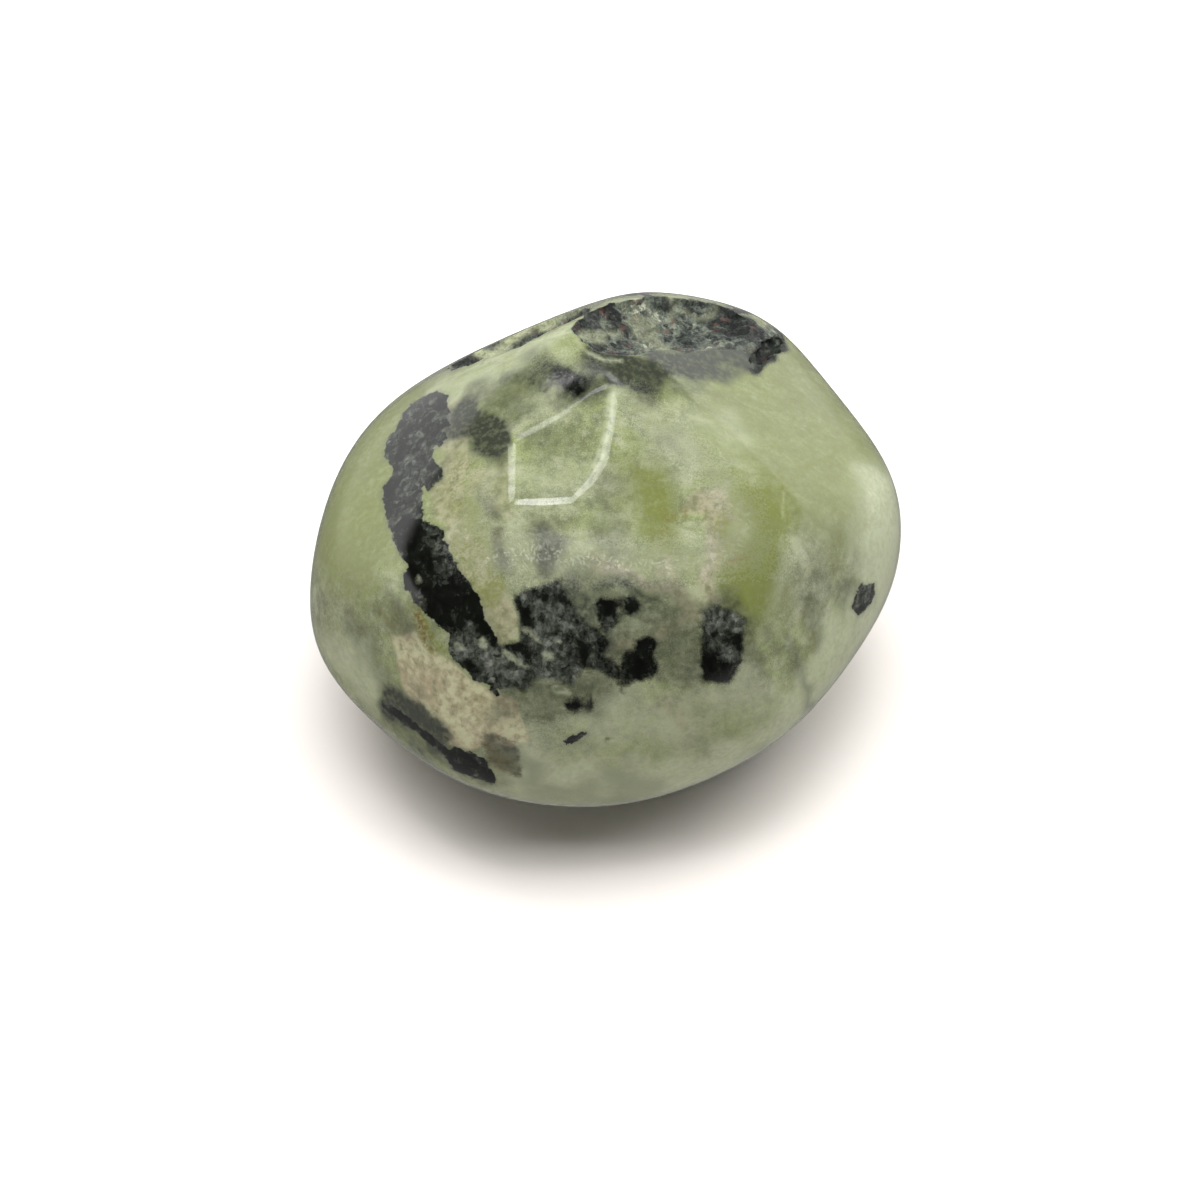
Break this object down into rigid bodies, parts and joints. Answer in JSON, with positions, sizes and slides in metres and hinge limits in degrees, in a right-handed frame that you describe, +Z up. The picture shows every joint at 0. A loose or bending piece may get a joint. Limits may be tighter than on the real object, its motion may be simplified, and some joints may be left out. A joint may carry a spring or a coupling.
{
  "type": "tumbled stone",
  "caption": "Thumb-sized polished pebble of pale green stone with dark patches grown through it and rough hollows on top.",
  "frame": {"origin": "middle of the stone's box, on the plane that it rests on", "axes": "+Z up from the flat spot that it rests on, +X along its length, towards its blunt right end"},
  "size_m": [0.0296, 0.0272, 0.0213],
  "materials": {
    "polished_stone": "tumble polished, matt in the hollows"
  },
  "bodies": {
    "root": {"stone": "polished_stone"}
  },
  "joints": []
}
